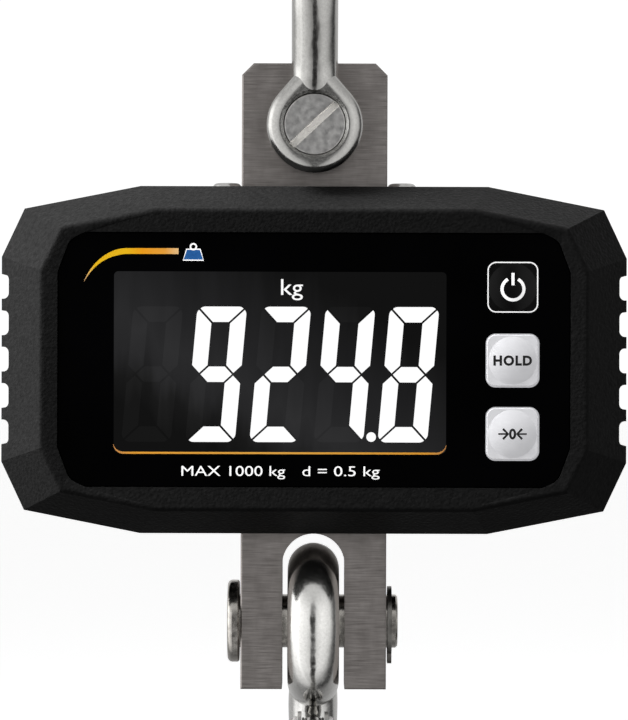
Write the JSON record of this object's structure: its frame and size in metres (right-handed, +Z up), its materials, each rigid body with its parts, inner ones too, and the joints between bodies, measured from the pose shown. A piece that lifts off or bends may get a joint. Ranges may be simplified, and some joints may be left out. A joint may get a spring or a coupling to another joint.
{
  "type": "crane scale",
  "caption": "Hanging electronic crane scale: load cell bar in a black chamfered housing with a large display and keys, bow shackle above, safety hook below.",
  "frame": {"origin": "the crane hook's seat: the top of the inside of the shackle's bow", "axes": "+Z up along the load line, -Y is the side with the display, +X to the right of someone who reads it"},
  "size_m": [0.162, 0.061, 0.2956],
  "materials": {
    "galvanised": "polished forged steel",
    "pin_steel": "satin turned steel",
    "brushed_bar": "brushed steel bar",
    "gauge_foil": "foil gauge",
    "cover_plate": "sheet steel",
    "cable_grey": "soft jacket",
    "block_alu": "milled",
    "screw_steel": "zinc plated",
    "polished_screw": "polished",
    "black_housing": "fine textured moulding",
    "seal_rubber": "moulded rubber",
    "insert_brass": "knurled",
    "lens_black": "polished, printed from behind",
    "lcd_glass": "dark display glass",
    "light_guide": "frosted",
    "black_frame": "moulded",
    "black_key": "moulded key",
    "grey_key": "moulded key",
    "switch_plastic": "moulded",
    "switch_metal": "stamped",
    "board_green": "solder mask",
    "chip_black": "moulded chips",
    "cell_jacket": "plain wrapped cell",
    "contact_plate": "nickel plated",
    "wire_red": "insulated wire",
    "black_door": "fine textured moulding",
    "label_silver": "blank satin plate",
    "ring_steel": "spring steel",
    "forged_hook": "forged, polished",
    "latch_sheet": "zinc plated sheet",
    "spring_wire": "drawn wire"
  },
  "bodies": {
    "shackle": {"shackle_bow": "galvanised", "shackle_pin": "pin_steel"},
    "hook_pin": {"clevis_pin": "pin_steel", "pin_retaining_ring": "ring_steel"},
    "hook_arm": {"hook": "forged_hook", "latch_rivet": "pin_steel", "latch_spring": "spring_wire"},
    "latch_arm": {"latch": "latch_sheet", "latch_spring_arm": "spring_wire"},
    "power_button": {"power_key": "black_key", "power_plunger": "switch_plastic"},
    "hold_button": {"hold_key": "grey_key", "hold_plunger": "switch_plastic"},
    "zero_button": {"zero_key": "grey_key", "zero_plunger": "switch_plastic"},
    "scale_body": {"load_cell": "brushed_bar", "strain_gauges": "gauge_foil", "gauge_covers": "cover_plate", "load_cell_cable": "cable_grey", "mounting_blocks": "block_alu", "block_screws": "screw_steel", "top_screws": "polished_screw", "front_shell": "black_housing", "rear_shell": "black_housing", "shell_seal": "seal_rubber", "shell_screws": "screw_steel", "threaded_inserts": "insert_brass", "load_cell_seal_top": "seal_rubber", "load_cell_seal_bottom": "seal_rubber", "display_lens": "lens_black", "lens_gasket": "seal_rubber", "lcd_glass": "lcd_glass", "lcd_backlight": "light_guide", "lcd_frame": "black_frame", "tact_switches": "switch_metal", "main_pcb": "board_green", "pcb_components": "chip_black", "pcb_screws": "screw_steel", "battery_tray": "black_frame", "battery_cells": "cell_jacket", "battery_contacts": "contact_plate", "battery_wires": "wire_red", "battery_door": "black_door", "battery_door_seal": "seal_rubber", "battery_door_screws": "screw_steel", "rating_plate": "label_silver"}
  },
  "joints": [
    {"name": "shackle_pivot", "type": "hinge", "parent": "shackle", "child": "scale_body", "pos_m": [0, 0, -0.054], "axis": [0, 1, 0], "range_deg": [-95, 95]},
    {"name": "hook_pin_spin", "type": "hinge", "parent": "scale_body", "child": "hook_pin", "pos_m": [0, 0, -0.1835], "axis": [1, 0, 0], "continuous": true},
    {"name": "hook_swing", "type": "hinge", "parent": "scale_body", "child": "hook_arm", "pos_m": [0, 0, -0.1835], "axis": [1, 0, 0], "range_deg": [-100, 100]},
    {"name": "latch_open", "type": "hinge", "parent": "hook_arm", "child": "latch_arm", "pos_m": [0, -0.008, -0.211], "axis": [1, 0, 0], "range_deg": [0, 38], "stiffness_Nm_per_rad": 0.06, "springref_deg": -17.19},
    {"name": "power_press", "type": "slide", "parent": "scale_body", "child": "power_button", "axis": [0, 1, 0], "range_m": [0, 0.0005], "stiffness_N_per_m": 4000},
    {"name": "hold_press", "type": "slide", "parent": "scale_body", "child": "hold_button", "axis": [0, 1, 0], "range_m": [0, 0.0005], "stiffness_N_per_m": 4000},
    {"name": "zero_press", "type": "slide", "parent": "scale_body", "child": "zero_button", "axis": [0, 1, 0], "range_m": [0, 0.0005], "stiffness_N_per_m": 4000}
  ]
}
